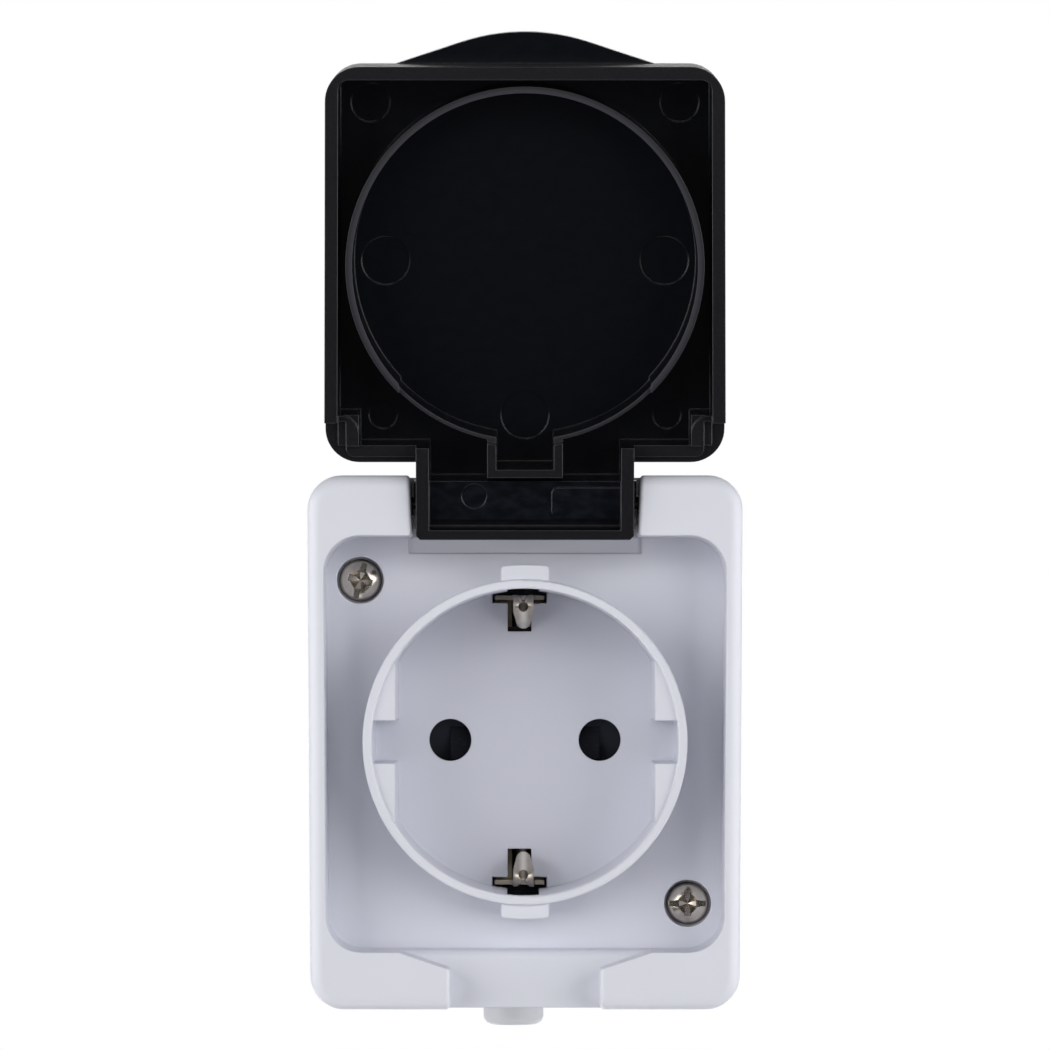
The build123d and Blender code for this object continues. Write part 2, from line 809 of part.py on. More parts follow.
    # A block in each corner of the shoulders, with a lower ledge round its free corner
    block_x = lid_half(block_start) - shoulder_side_relief - corner_block_width
    ledge_width = shoulder_side_relief + corner_block_width - lid_wall
    with BuildSketch(lid_plane.offset(lid_inside)):
        for side in sides:
            with Locations((side * block_x, block_start)):
                outward = Align.MIN if side > 0 else Align.MAX
                Rectangle(ledge_width, corner_block_length, align=(outward, Align.MIN))
    extrude(amount=corner_block_rim - corner_ledge_drop - lid_inside)
    with BuildSketch(lid_plane.offset(lid_inside)):
        for side in sides:
            with Locations((side * block_x, block_start)):
                outward = Align.MIN if side > 0 else Align.MAX
                Rectangle(ledge_width, corner_block_length, align=(outward, Align.MIN))
        free_corners = sorted(vertices().group_by(Axis.Y)[-1], key=lambda corner: abs(corner.X))
        fillet(free_corners[0:2], corner_block_roundness * ledge_width)
        for side in sides:
            with Locations((side * (block_x + corner_block_width), shoulder_end)):
                outward = Align.MIN if side > 0 else Align.MAX
                Rectangle(ledge_width, shoulder_end, align=(outward, Align.MAX), mode=Mode.SUBTRACT)
    extrude(amount=corner_block_rim - lid_inside)

    # Ring round the plug well, thinner and lower next to the hinge, with relief for the earth tab
    with BuildSketch(lid_plane.offset(lid_inside)):
        with Locations((0, ring_centre)):
            Circle(ring_radius + ring_wall)
            Circle(ring_radius, mode=Mode.SUBTRACT)
        with Locations((0, relief_end - relief_end_wall)):
            Rectangle(
                2 * (relief_half + relief_wall),
                ring_centre - ring_radius - relief_end + relief_end_wall,
                align=(Align.CENTER, Align.MIN),
            )
    extrude(amount=ring_top - lid_inside)
    with BuildSketch(lid_plane.offset(lid_inside)):
        with Locations((0, ring_centre)):
            Circle(ring_radius + ring_relief)
            Rectangle(
                2 * ring_relief_reach,
                ring_radius + ring_wall,
                align=(Align.CENTER, Align.MAX),
                mode=Mode.INTERSECT,
            )
        with Locations((0, relief_end)):
            Rectangle(
                2 * relief_half, ring_centre - ring_radius - relief_end, align=(Align.CENTER, Align.MIN)
            )
    extrude(amount=ring_top - lid_inside, mode=Mode.SUBTRACT)
    low_radius = ring_radius + ring_wall + ring_relief_margin
    with BuildSketch(lid_plane.offset(ring_top - ring_relief_drop)):
        with Locations((0, ring_centre)):
            Circle(low_radius)
            Rectangle(
                2 * ring_relief_reach,
                low_radius,
                align=(Align.CENTER, Align.MAX),
                mode=Mode.INTERSECT,
            )
    extrude(amount=ring_relief_drop, mode=Mode.SUBTRACT)

    # Shallow round marks of the mould's ejector pins, and the bore for the hinge pin
    with BuildSketch(lid_plane.offset(lid_inside - mark_depth)):
        for mark_x, mark_along, mark_radius in ejector_marks:
            with Locations((-mark_x, mark_along), (mark_x, mark_along)):
                Circle(mark_radius)
        with Locations((0, shoulder_reach + shoulder_length)):
            Circle(large_mark_radius)
    extrude(amount=mark_depth, mode=Mode.SUBTRACT)
    with BuildSketch(tongue_plane.offset(-hinge_gap)):
        Circle(pin_radius + pin_clearance)
    extrude(amount=2 * hinge_gap, mode=Mode.SUBTRACT)
lid.part.label = "lid"
export_step(lid.part, "parts/lid.step")

# Insulating block with two contact chambers, three terminal pockets and the shutter's guides
with BuildPart() as contact_carrier:
    with BuildSketch(at_height(base_floor)):
        RectangleRounded(carrier_width, carrier_length, carrier_corner)
    extrude(amount=carrier_top - base_floor)
    with BuildSketch(at_height(lug_bottom)):
        with Locations(*lug_places):
            Circle(lug_radius)
        Rectangle(2 * lug_x, 2 * lug_radius)
    extrude(amount=lug_thickness)
    with BuildSketch(at_height(chamber_floor)):
        with Locations((-pin_x, 0), (pin_x, 0)):
            Rectangle(chamber_width, chamber_length)
    extrude(amount=carrier_top - chamber_floor, mode=Mode.SUBTRACT)
    link_floor = link_height - 2 * sheet
    with BuildSketch(at_height(terminal_floor)):
        with Locations(*terminal_places):
            Rectangle(terminal_width, terminal_length)
    extrude(amount=carrier_top - terminal_floor, mode=Mode.SUBTRACT)
    with BuildSketch(at_height(link_floor)):
        for place_x, place_level in terminal_places:
            with Locations((place_x, place_level / 2)):
                Rectangle(link_slot_width, terminal_level)
    extrude(amount=carrier_top - link_floor, mode=Mode.SUBTRACT)
    with BuildSketch(Plane.XY.offset(-carrier_length / 2)):
        with Locations((-pin_x, -wire_height), (pin_x, -wire_height)):
            Circle(wire_hole_radius)
    extrude(amount=carrier_length / 2 - terminal_level, mode=Mode.SUBTRACT)
    with BuildSketch(Plane.XY.offset(terminal_level)):
        with Locations((pin_x, -wire_height)):
            Circle(wire_hole_radius)
    extrude(amount=carrier_length / 2 - terminal_level, mode=Mode.SUBTRACT)
    with BuildSketch(at_height(strap_height - strap_sheet / 2)):
        with Locations((slot_offset, 0)):
            Rectangle(strap_width + strap_channel_room, carrier_length)
        with Locations((slot_offset, arm_level - strap_channel_room / 2)):
            Rectangle(
                pin_x + link_slot_width / 2 - slot_offset,
                arm_width + strap_channel_room,
                align=(Align.MIN, Align.MIN),
            )
    extrude(amount=carrier_top - strap_height + strap_sheet / 2, mode=Mode.SUBTRACT)

    # Rails and stops for the shutter, and the seat of its spring
    rail_x = pin_x + shutter_width / 2 + rail_gap
    with BuildSketch(at_height(carrier_top)):
        for side in sides:
            outward = Align.MIN if side > 0 else Align.MAX
            inward = Align.MAX if side > 0 else Align.MIN
            with Locations((side * rail_x, rail_bottom_level)):
                Rectangle(rail_width, rail_top_level - rail_bottom_level, align=(outward, Align.MIN))
                Rectangle(stop_reach, stop_width, align=(inward, Align.MIN))
        with Locations((0, spring_seat_level)):
            Rectangle(spring_seat_width, spring_seat_thickness, align=(Align.CENTER, Align.MIN))
    extrude(amount=rail_height)
    with BuildSketch(at_height(lug_bottom)):
        with Locations(*lug_places):
            Circle(carrier_screw_radius + screw_fit)
    extrude(amount=lug_thickness, mode=Mode.SUBTRACT)
contact_carrier.part.label = "contact_carrier"
export_step(contact_carrier.part, "parts/contact_carrier.step")

# Screws that hold the carrier's lugs to the wall box
with BuildPart() as carrier_screws:
    lug_top = lug_bottom + lug_thickness
    with BuildSketch(at_height(carrier_screw_bottom)):
        with Locations(*lug_places):
            Circle(carrier_screw_radius)
    extrude(amount=lug_top - carrier_screw_bottom)
    with BuildSketch(at_height(lug_top)):
        with Locations(*lug_places):
            Circle(carrier_head_radius)
    extrude(amount=carrier_head_height)
    with BuildSketch(at_height(lug_top + carrier_head_height - driver_slot)):
        with Locations(*lug_places):
            Rectangle(driver_slot, 2 * carrier_head_radius)
    extrude(amount=driver_slot, mode=Mode.SUBTRACT)
carrier_screws.part.label = "carrier_screws"
export_step(carrier_screws.part, "parts/carrier_screws.step")

# Pin contacts, each a brass fork with a link to its terminal, and the steel clip round each fork
leaf_x = contact_gap + sheet / 2
riser_level = chamber_length / 2 - sheet
link_end = terminal_level + cage_length / 2 - sheet / 2
for pole, side in (("line", -1), ("neutral", 1)):
    centre_x = side * pin_x
    with BuildPart() as pin_contact:
        with BuildSketch(Plane.XY.offset(-contact_length / 2)):
            with BuildLine():
                Polyline(
                    (centre_x - contact_mouth, -contact_top),
                    (centre_x - leaf_x, -contact_waist),
                    (centre_x - leaf_x, -contact_bottom),
                    (centre_x + leaf_x, -contact_bottom),
                    (centre_x + leaf_x, -contact_waist),
                    (centre_x + contact_mouth, -contact_top),
                )
            trace(line_width=sheet)
        extrude(amount=contact_length)
        with BuildSketch(Plane.YZ.offset(centre_x - link_width / 2)):
            with BuildLine():
                Polyline(
                    (-contact_bottom, -contact_length / 2 + sheet),
                    (-contact_bottom, -riser_level),
                    (-link_height, -riser_level),
                    (-link_height, -link_end),
                )
            trace(line_width=sheet)
        extrude(amount=link_width)
    pin_contact.part.label = pole + "_contact"
    export_step(pin_contact.part, "parts/" + pole + "_contact.step")

    with BuildPart() as contact_spring:
        clip_x = contact_gap + sheet + clip_gap + clip_sheet / 2
        clip_back = contact_length / 2 + clip_gap + clip_sheet / 2
        with BuildSketch(at_height(clip_height - clip_width / 2)):
            with BuildLine():
                Polyline(
                    (centre_x - clip_x, contact_length / 2 - sheet),
                    (centre_x - clip_x, -clip_back),
                    (centre_x + clip_x, -clip_back),
                    (centre_x + clip_x, contact_length / 2 - sheet),
                )
            trace(line_width=clip_sheet)
        extrude(amount=clip_width)
    contact_spring.part.label = pole + "_contact_spring"
    export_step(contact_spring.part, "parts/" + pole + "_contact_spring.step")

# Terminal cages, each with a window for the link and the wire, and their clamp screws
cage_window_top = link_height + sheet / 2
for pole, place in zip(("line", "neutral", "earth"), terminal_places):
    with BuildPart() as clamp:
        with BuildSketch(at_height(cage_bottom)):
            with Locations(place):
                Rectangle(cage_width, cage_length)
        extrude(amount=cage_top - cage_bottom)
        with BuildSketch(at_height(cage_window_bottom)):
            with Locations(place):
                Rectangle(cage_window_width, cage_length)
        extrude(amount=cage_window_top - cage_window_bottom, mode=Mode.SUBTRACT)
        with BuildSketch(at_height(cage_window_top)):
            with Locations(place):
                Circle(clamp_screw_radius + screw_fit)
        extrude(amount=cage_top - cage_window_top, mode=Mode.SUBTRACT)
    clamp.part.label = pole + "_clamp"
    export_step(clamp.part, "parts/" + pole + "_clamp.step")

with BuildPart() as terminal_screws:
    with BuildSketch(at_height(cage_window_top)):
        with Locations(*terminal_places):
            Circle(clamp_screw_radius)
    extrude(amount=cage_top - cage_window_top)
    with BuildSketch(at_height(cage_top)):
        with Locations(*terminal_places):
            Circle(clamp_head_radius)
    extrude(amount=clamp_head_height)
    with BuildSketch(at_height(cage_top + clamp_head_height - driver_slot)):
        with Locations(*terminal_places):
            Rectangle(2 * clamp_head_radius, driver_slot)
    extrude(amount=driver_slot, mode=Mode.SUBTRACT)
terminal_screws.part.label = "terminal_screws"
export_step(terminal_screws.part, "parts/terminal_screws.step")

# Earth fingers: a bent strip, cut to a tapered tongue with a forked root, top and bottom
upright_level = strap_reach - strap_sheet / 2
tip_centre = finger_tip_level - strap_sheet / 2 + finger_tip_radius
with BuildPart() as earth_fingers:
    with BuildSketch(Plane.YZ.offset(finger_x - finger_width)):
        for side in sides:
            with BuildLine():
                FilletPolyline(
                    (-strap_height, side * upright_level),
                    (-floor_height - finger_crest, side * upright_level),
                    (-floor_height - finger_bend_rise, side * finger_bend_level),
                    (-floor_height - finger_tip_rise, side * finger_tip_level),
                    radius=finger_bend_radius,
                )
            trace(line_width=strap_sheet)
    extrude(amount=2 * finger_width)
    with BuildSketch(at_height(strap_height)):
        with Locations((finger_x, tip_centre)):
            Circle(finger_tip_radius)
        Polygon(
            (finger_x + finger_tip_radius, tip_centre),
            (finger_x + finger_width / 2, finger_bend_level + finger_bend_radius),
            (finger_x + finger_width / 2, strap_reach),
            (finger_x + finger_fork_width / 2, strap_reach),
            (finger_x, strap_reach - finger_fork_depth),
            (finger_x - finger_fork_width / 2, strap_reach),
            (finger_x - finger_width / 2, strap_reach),
            (finger_x - finger_width / 2, finger_bend_level + finger_bend_radius),
            (finger_x - finger_tip_radius, tip_centre),
            align=None,
        )
        with Locations((finger_x, strap_reach - finger_hole_reach)):
            Circle(finger_hole_radius, mode=Mode.SUBTRACT)
        mirror(about=Plane.XZ)
    extrude(amount=housing_depth, mode=Mode.INTERSECT)

# Earth strap with its fingers and the arm to the earth terminal
with BuildPart() as earth_strap:
    strap_bottom = strap_height - strap_sheet / 2
    with BuildSketch(at_height(strap_bottom)):
        with Locations((slot_offset, 0)):
            Rectangle(strap_width, 2 * strap_reach)
        with Locations((slot_offset, arm_level)):
            Rectangle(
                pin_x + link_width / 2 - slot_offset, arm_width, align=(Align.MIN, Align.MIN)
            )
    extrude(amount=strap_sheet)
    with BuildSketch(at_height(strap_bottom)):
        with Locations((slot_offset, upright_level), (slot_offset, -upright_level)):
            Rectangle(strap_width, strap_sheet)
    extrude(amount=floor_back + bar_rise - strap_bottom)
    with BuildSketch(Plane.YZ.offset(pin_x - link_width / 2)):
        with BuildLine():
            Polyline(
                (-strap_height, arm_level + strap_sheet / 2),
                (-cage_window_top + strap_sheet / 2, arm_level + strap_sheet / 2),
                (-cage_window_top + strap_sheet / 2, link_end),
            )
        trace(line_width=strap_sheet)
    extrude(amount=link_width)
    add(earth_fingers.part)
earth_strap.part.label = "earth_strap"
export_step(earth_strap.part, "parts/earth_strap.step")

# Shutter that closes both pin holes and slides up when both pins push on its slopes
with BuildPart() as shutter:
    for side in sides:
        with BuildSketch(Plane.YZ.offset(side * pin_x - shutter_width / 2)):
            Polygon(
                (-shutter_bottom, -shutter_length / 2),
                (-shutter_bottom, shutter_length / 2),
                (-shutter_top, shutter_length / 2),
                (-shutter_bottom - shutter_low, -shutter_length / 2),
                align=None,
            )
        extrude(amount=shutter_width)
    with BuildSketch(at_height(shutter_bottom)):
        Rectangle(2 * pin_x, shutter_bridge_length)
    extrude(amount=shutter_bridge_height)
shutter.part.label = "shutter"
export_step(shutter.part, "parts/shutter.step")

# Coil spring between the shutter's bridge and its seat
spring_start = shutter_bridge_length / 2 + spring_end_room
spring_length = spring_seat_level - spring_end_room - spring_start
with BuildPart() as shutter_spring:
    with BuildLine() as coil:
        Helix(
            spring_length / spring_turns,
            spring_length,
            spring_radius,
            center=(0, -shutter_bottom - shutter_bridge_height / 2, spring_start),
            direction=(0, 0, 1),
        )
    with BuildSketch(Plane(coil.line @ 0, z_dir=coil.line % 0)):
        RegularPolygon(spring_wire / 2, spring_flat_count)
    sweep(is_frenet=True)
shutter_spring.part.label = "shutter_spring"
export_step(shutter_spring.part, "parts/shutter_spring.step")
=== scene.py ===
import json
import math

import bmesh
import bpy
from mathutils import Matrix, Vector


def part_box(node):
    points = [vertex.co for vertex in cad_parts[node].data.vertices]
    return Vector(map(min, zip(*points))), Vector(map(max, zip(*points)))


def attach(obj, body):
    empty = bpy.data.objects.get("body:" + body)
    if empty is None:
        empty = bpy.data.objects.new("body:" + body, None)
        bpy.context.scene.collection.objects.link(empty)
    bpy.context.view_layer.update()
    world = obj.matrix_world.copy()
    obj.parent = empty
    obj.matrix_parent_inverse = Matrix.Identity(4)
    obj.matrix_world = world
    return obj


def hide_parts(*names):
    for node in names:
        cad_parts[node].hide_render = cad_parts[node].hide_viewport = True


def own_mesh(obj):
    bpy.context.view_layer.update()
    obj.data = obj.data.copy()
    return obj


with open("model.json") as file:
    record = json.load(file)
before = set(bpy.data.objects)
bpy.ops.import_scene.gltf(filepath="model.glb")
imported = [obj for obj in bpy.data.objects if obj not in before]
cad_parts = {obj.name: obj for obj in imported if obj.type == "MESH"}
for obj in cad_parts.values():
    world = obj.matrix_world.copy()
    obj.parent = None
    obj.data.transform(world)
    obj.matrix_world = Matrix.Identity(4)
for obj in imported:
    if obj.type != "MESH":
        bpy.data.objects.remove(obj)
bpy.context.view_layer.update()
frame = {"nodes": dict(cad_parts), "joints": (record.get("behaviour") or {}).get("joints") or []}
nodes = frame["nodes"]
joints = {joint["name"]: joint for joint in frame["joints"]}
mm = 0.001
bevelSamples = 6
octaves = {"cloud": 3.0, "patch": 4.0, "fine": 2.0, "fleck": 1.0}  # more octaves, more ragged edges
print("frame loaded:", len(nodes), "nodes")


def linear(hexColour):  # sRGB hex to the linear colour that shaders work in
    channels = [int(hexColour[i:i + 2], 16) / 255 for i in (1, 3, 5)]
    return [c / 12.92 if c <= 0.04045 else ((c + 0.055) / 1.055) ** 2.4 for c in channels] + [1.0]


def addNode(tree, kind, settings=None, inputs=None, out=0):  # gives back the output that is wanted
    node = tree.nodes.new("ShaderNode" + kind)
    for name, value in (settings or {}).items():
        setattr(node, name, value)
    for name, value in (inputs or {}).items():
        if isinstance(value, bpy.types.NodeSocket):
            tree.links.new(value, node.inputs[name])
        else:
            node.inputs[name].default_value = value
    return node.outputs[out]


def newMaterial(name, settings):
    material = bpy.data.materials.new(name)
    material.use_nodes = True
    shader = material.node_tree.nodes["Principled BSDF"]
    for socket, value in settings.items():
        shader.inputs[socket].default_value = value
    return material, material.node_tree, shader


def finishMaterial(tree, shader, colour, roughness, normal):
    tree.links.new(colour, shader.inputs["Base Color"])
    tree.links.new(roughness, shader.inputs["Roughness"])
    tree.links.new(normal, shader.inputs["Normal"])


def dress(material, *names):
    for name in names:
        slots = nodes[name].data.materials
        slots.clear()
        slots.append(material)


# Polycarbonate, injection moulded in a spark-eroded tool: pale and satin, with an even grain, faint
# clouds where the melt flowed, and edges that are never quite sharp. The real grain is near 0.05 mm
# and is drawn coarser, so that it still shows.
housingLook = {
    "ior": 1.58, "colour": "#E2E3EC", "cloud": "#DDDFE8", "cloudMm": 18.0, "roughness": (0.38, 0.5),
    "edgeMm": 0.3, "grainMm": 0.3, "grainDepthMm": 0.012, "grainStrength": 0.5,
}


def mouldedPolycarbonate(look):
    material, tree, shader = newMaterial("mouldedPolycarbonate", {"IOR": look["ior"]})
    place = addNode(tree, "TexCoord", out="Object")
    cloud = addNode(tree, "TexNoise", {}, {
        "Vector": place, "Scale": 1 / (look["cloudMm"] * mm), "Detail": octaves["cloud"]})
    colour = addNode(tree, "MixRGB", {}, {
        "Fac": cloud, "Color1": linear(look["colour"]), "Color2": linear(look["cloud"])})
    grain = addNode(tree, "TexNoise", {}, {
        "Vector": place, "Scale": 1 / (look["grainMm"] * mm), "Detail": octaves["fine"]})
    gloss = addNode(tree, "MapRange", {}, {
        "Value": grain, "To Min": look["roughness"][0], "To Max": look["roughness"][1]})
    edge = addNode(tree, "Bevel", {"samples": bevelSamples}, {"Radius": look["edgeMm"] * mm})
    bump = addNode(tree, "Bump", {}, {
        "Strength": look["grainStrength"], "Distance": look["grainDepthMm"] * mm, "Height": grain,
        "Normal": edge})
    finishMaterial(tree, shader, colour, gloss, bump)
    return material


# ABS, injection moulded: polished steel leaves the inside deep black, textured steel leaves the outside
# and the tops of the walls a shade greyer and speckled, and the ring's top greyer still. A thin pale line
# is painted along each edge as a highlight, and the hinge hub keeps cloudy streaks of flow. Distances are
# measured from the hinge, along the lid and across it towards its inside. The texture is drawn coarser than
# its 0.1 mm.
lidLook = {
    "ior": 1.53, "polished": "#070A10", "polishedRoughness": (0.16, 0.24),
    "textured": ("#07070B", "#131219"), "texturedRoughness": 0.32, "speck": (0.35, 0.65),
    "insideFrom": 0.8, "outsideFrom": -0.3,  # how squarely a face looks towards the lid's inside
    "wallMm": 1.3, "endMm": 53.3, "lipMm": -3.3,
    "ring": ("#27272F", "#0D0E14"), "ringRoughness": 0.45, "ringCentreMm": 30.2, "ringReachMm": 22.3,
    "ringSplitMm": (21.55, 21.85), "ringEdgeMm": 0.14,
    "haze": "#14171F", "hazeFrom": (0.4, 0.7), "streakMm": (2.2, 1.3), "hubMm": (-2.2, 3.7),
    "hubHalfMm": 11.9, "hubEdgeHighlightShare": 0.22,
    # edge is the colour of the highlight painted along each edge
    "edge": "#50505A", "edgeMm": 0.16, "edgeHighlightFrom": (0.97, 0.75), "edgeHighlightShare": (0.12, 0.58),
    "grainMm": 0.28, "grainDepthMm": 0.02, "grainStrength": (0.1, 0.6),
}


def blackAbs(look):
    material, tree, shader = newMaterial("blackAbs", {"IOR": look["ior"]})
    hinge = joints["lid_hinge"]
    lean = math.radians(180 - hinge["range_deg"][1])
    inward = (0, -math.cos(lean), -math.sin(lean))
    onward = (0, -math.sin(lean), math.cos(lean))
    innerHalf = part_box("lid")[1][0] - look["wallMm"] * mm

    # where a point lies on the lid, and which way its face looks
    place = addNode(tree, "TexCoord", out="Object")
    fromHinge = addNode(tree, "VectorMath", {"operation": "SUBTRACT"}, {0: place, 1: hinge["pos_m"]})
    across = addNode(tree, "VectorMath", {"operation": "DOT_PRODUCT"}, {0: fromHinge, 1: inward}, "Value")
    along = addNode(tree, "VectorMath", {"operation": "DOT_PRODUCT"}, {0: fromHinge, 1: onward}, "Value")
    sideways = addNode(tree, "SeparateXYZ", {}, {0: place}, "X")
    side = addNode(tree, "Math", {"operation": "ABSOLUTE"}, {0: sideways})
    facet = addNode(tree, "NewGeometry", out="True Normal")
    facing = addNode(tree, "VectorTransform", {
        "vector_type": "NORMAL", "convert_from": "WORLD", "convert_to": "OBJECT"}, {"Vector": facet})
    turned = addNode(tree, "VectorMath", {"operation": "DOT_PRODUCT"}, {0: facing, 1: inward}, "Value")

    # hub inside the tongue
    overEnd = addNode(tree, "Math", {"operation": "GREATER_THAN"}, {0: along, 1: look["hubMm"][0] * mm})
    onHub = addNode(tree, "Math", {"operation": "LESS_THAN"}, {0: along, 1: look["hubMm"][1] * mm})
    inTongue = addNode(tree, "Math", {"operation": "LESS_THAN"}, {0: side, 1: look["hubHalfMm"] * mm})
    onHub = addNode(tree, "Math", {"operation": "MULTIPLY"}, {0: onHub, 1: inTongue})
    onHub = addNode(tree, "Math", {"operation": "MULTIPLY"}, {0: onHub, 1: overEnd})

    # textured faces: the outside, the outer walls and every top that looks inward
    inside = addNode(tree, "Math", {"operation": "GREATER_THAN"}, {0: turned, 1: look["insideFrom"]})
    outside = addNode(tree, "Math", {"operation": "LESS_THAN"}, {0: turned, 1: look["outsideFrom"]})
    raised = addNode(tree, "Math", {"operation": "GREATER_THAN"}, {0: across, 1: look["lipMm"] * mm})
    tops = addNode(tree, "Math", {"operation": "SUBTRACT", "use_clamp": True}, {0: inside, 1: onHub})
    atSide = addNode(tree, "Math", {"operation": "GREATER_THAN"}, {0: side, 1: innerHalf})
    atEnd = addNode(tree, "Math", {"operation": "GREATER_THAN"}, {0: along, 1: look["endMm"] * mm})
    walls = addNode(tree, "Math", {"operation": "MAXIMUM"}, {0: atSide, 1: atEnd})
    walls = addNode(tree, "Math", {"operation": "MAXIMUM"}, {0: walls, 1: tops})
    walls = addNode(tree, "Math", {"operation": "MULTIPLY"}, {0: walls, 1: raised})
    textured = addNode(tree, "Math", {"operation": "MAXIMUM"}, {0: walls, 1: outside})

    # top of the sealing ring
    fromCentre = addNode(tree, "Math", {"operation": "SUBTRACT"}, {0: along, 1: look["ringCentreMm"] * mm})
    reach = addNode(tree, "CombineXYZ", {}, {"X": side, "Y": fromCentre})
    reach = addNode(tree, "VectorMath", {"operation": "LENGTH"}, {0: reach}, "Value")
    onRing = addNode(tree, "Math", {"operation": "LESS_THAN"}, {0: reach, 1: look["ringReachMm"] * mm})
    onRing = addNode(tree, "Math", {"operation": "MULTIPLY"}, {0: onRing, 1: walls})

    # streaks of flow, grain, and the painted highlight line along each edge
    streak = addNode(tree, "CombineXYZ", {}, {"X": sideways, "Y": along})
    streak = addNode(tree, "VectorMath", {"operation": "DIVIDE"}, {
        0: streak, 1: (look["streakMm"][0] * mm, look["streakMm"][1] * mm, mm)})
    streak = addNode(tree, "TexNoise", {}, {"Vector": streak, "Scale": 1.0, "Detail": octaves["fine"]})
    grain = addNode(tree, "TexNoise", {}, {
        "Vector": place, "Scale": 1 / (look["grainMm"] * mm), "Detail": octaves["cloud"]})
    radius = addNode(tree, "MapRange", {}, {
        "Value": onRing, "To Min": look["edgeMm"] * mm, "To Max": look["ringEdgeMm"] * mm})
    edge = addNode(tree, "Bevel", {"samples": bevelSamples}, {"Radius": radius})
    paintedEdgeLine = addNode(tree, "VectorMath", {"operation": "DOT_PRODUCT"}, {0: edge, 1: facet}, "Value")
    share = addNode(tree, "MapRange", {}, {
        "Value": raised, "To Min": look["edgeHighlightShare"][0], "To Max": look["edgeHighlightShare"][1]})
    share = addNode(tree, "Mix", {}, {"Factor": onHub, "A": share, "B": look["hubEdgeHighlightShare"]})
    paintedEdgeLine = addNode(tree, "MapRange", {}, {
        "Value": paintedEdgeLine, "From Min": look["edgeHighlightFrom"][0], "From Max": look["edgeHighlightFrom"][1], "To Max": share})

    # colour: polished, hazy on the hub, speckled where textured, two tones on the ring, then the painted
    # edge highlights
    haze = addNode(tree, "MapRange", {}, {
        "Value": streak, "From Min": look["hazeFrom"][0], "From Max": look["hazeFrom"][1]})
    haze = addNode(tree, "Math", {"operation": "MULTIPLY"}, {0: haze, 1: onHub})
    colour = addNode(tree, "MixRGB", {}, {
        "Fac": haze, "Color1": linear(look["polished"]), "Color2": linear(look["haze"])})
    speck = addNode(tree, "MapRange", {}, {
        "Value": grain, "From Min": look["speck"][0], "From Max": look["speck"][1]})
    speck = addNode(tree, "MixRGB", {}, {
        "Fac": speck, "Color1": linear(look["textured"][0]), "Color2": linear(look["textured"][1])})
    colour = addNode(tree, "MixRGB", {}, {"Fac": textured, "Color1": colour, "Color2": speck})
    band = addNode(tree, "MapRange", {}, {
        "Value": reach, "From Min": look["ringSplitMm"][0] * mm, "From Max": look["ringSplitMm"][1] * mm})
    band = addNode(tree, "MixRGB", {}, {
        "Fac": band, "Color1": linear(look["ring"][0]), "Color2": linear(look["ring"][1])})
    colour = addNode(tree, "MixRGB", {}, {"Fac": onRing, "Color1": colour, "Color2": band})
    colour = addNode(tree, "MixRGB", {}, {"Fac": paintedEdgeLine, "Color1": colour, "Color2": linear(look["edge"])})

    gloss = addNode(tree, "MapRange", {}, {
        "Value": streak, "To Min": look["polishedRoughness"][0], "To Max": look["polishedRoughness"][1]})
    gloss = addNode(tree, "Mix", {}, {"Factor": textured, "A": gloss, "B": look["texturedRoughness"]})
    gloss = addNode(tree, "Mix", {}, {"Factor": onRing, "A": gloss, "B": look["ringRoughness"]})
    depth = addNode(tree, "MapRange", {}, {
        "Value": textured, "To Min": look["grainStrength"][0], "To Max": look["grainStrength"][1]})
    bump = addNode(tree, "Bump", {}, {
        "Strength": depth, "Distance": look["grainDepthMm"] * mm, "Height": grain, "Normal": edge})
    finishMaterial(tree, shader, colour, gloss, bump)
    return material


# Steel, cold headed and barrel plated with nickel: a warm grey mirror with small dents, and a dark brown
# painted shade in its recesses and on its steep flanks
screwLook = {
    "bright": "#DDD6CB", "dull": "#B5AB9E", "patchMm": 0.9, "roughness": (0.16, 0.3), "edgeMm": 0.07,
    "paintedShade": "#2A2018", "recessMm": 0.6, "recessSamples": 6, "shade": (0.46, 0.66),
    "axis": (0.0, -1.0, 0.0), "steep": (0.22, 0.74),
    "dentMm": 0.45, "dentDepthMm": 0.03, "dentStrength": 0.35,
}


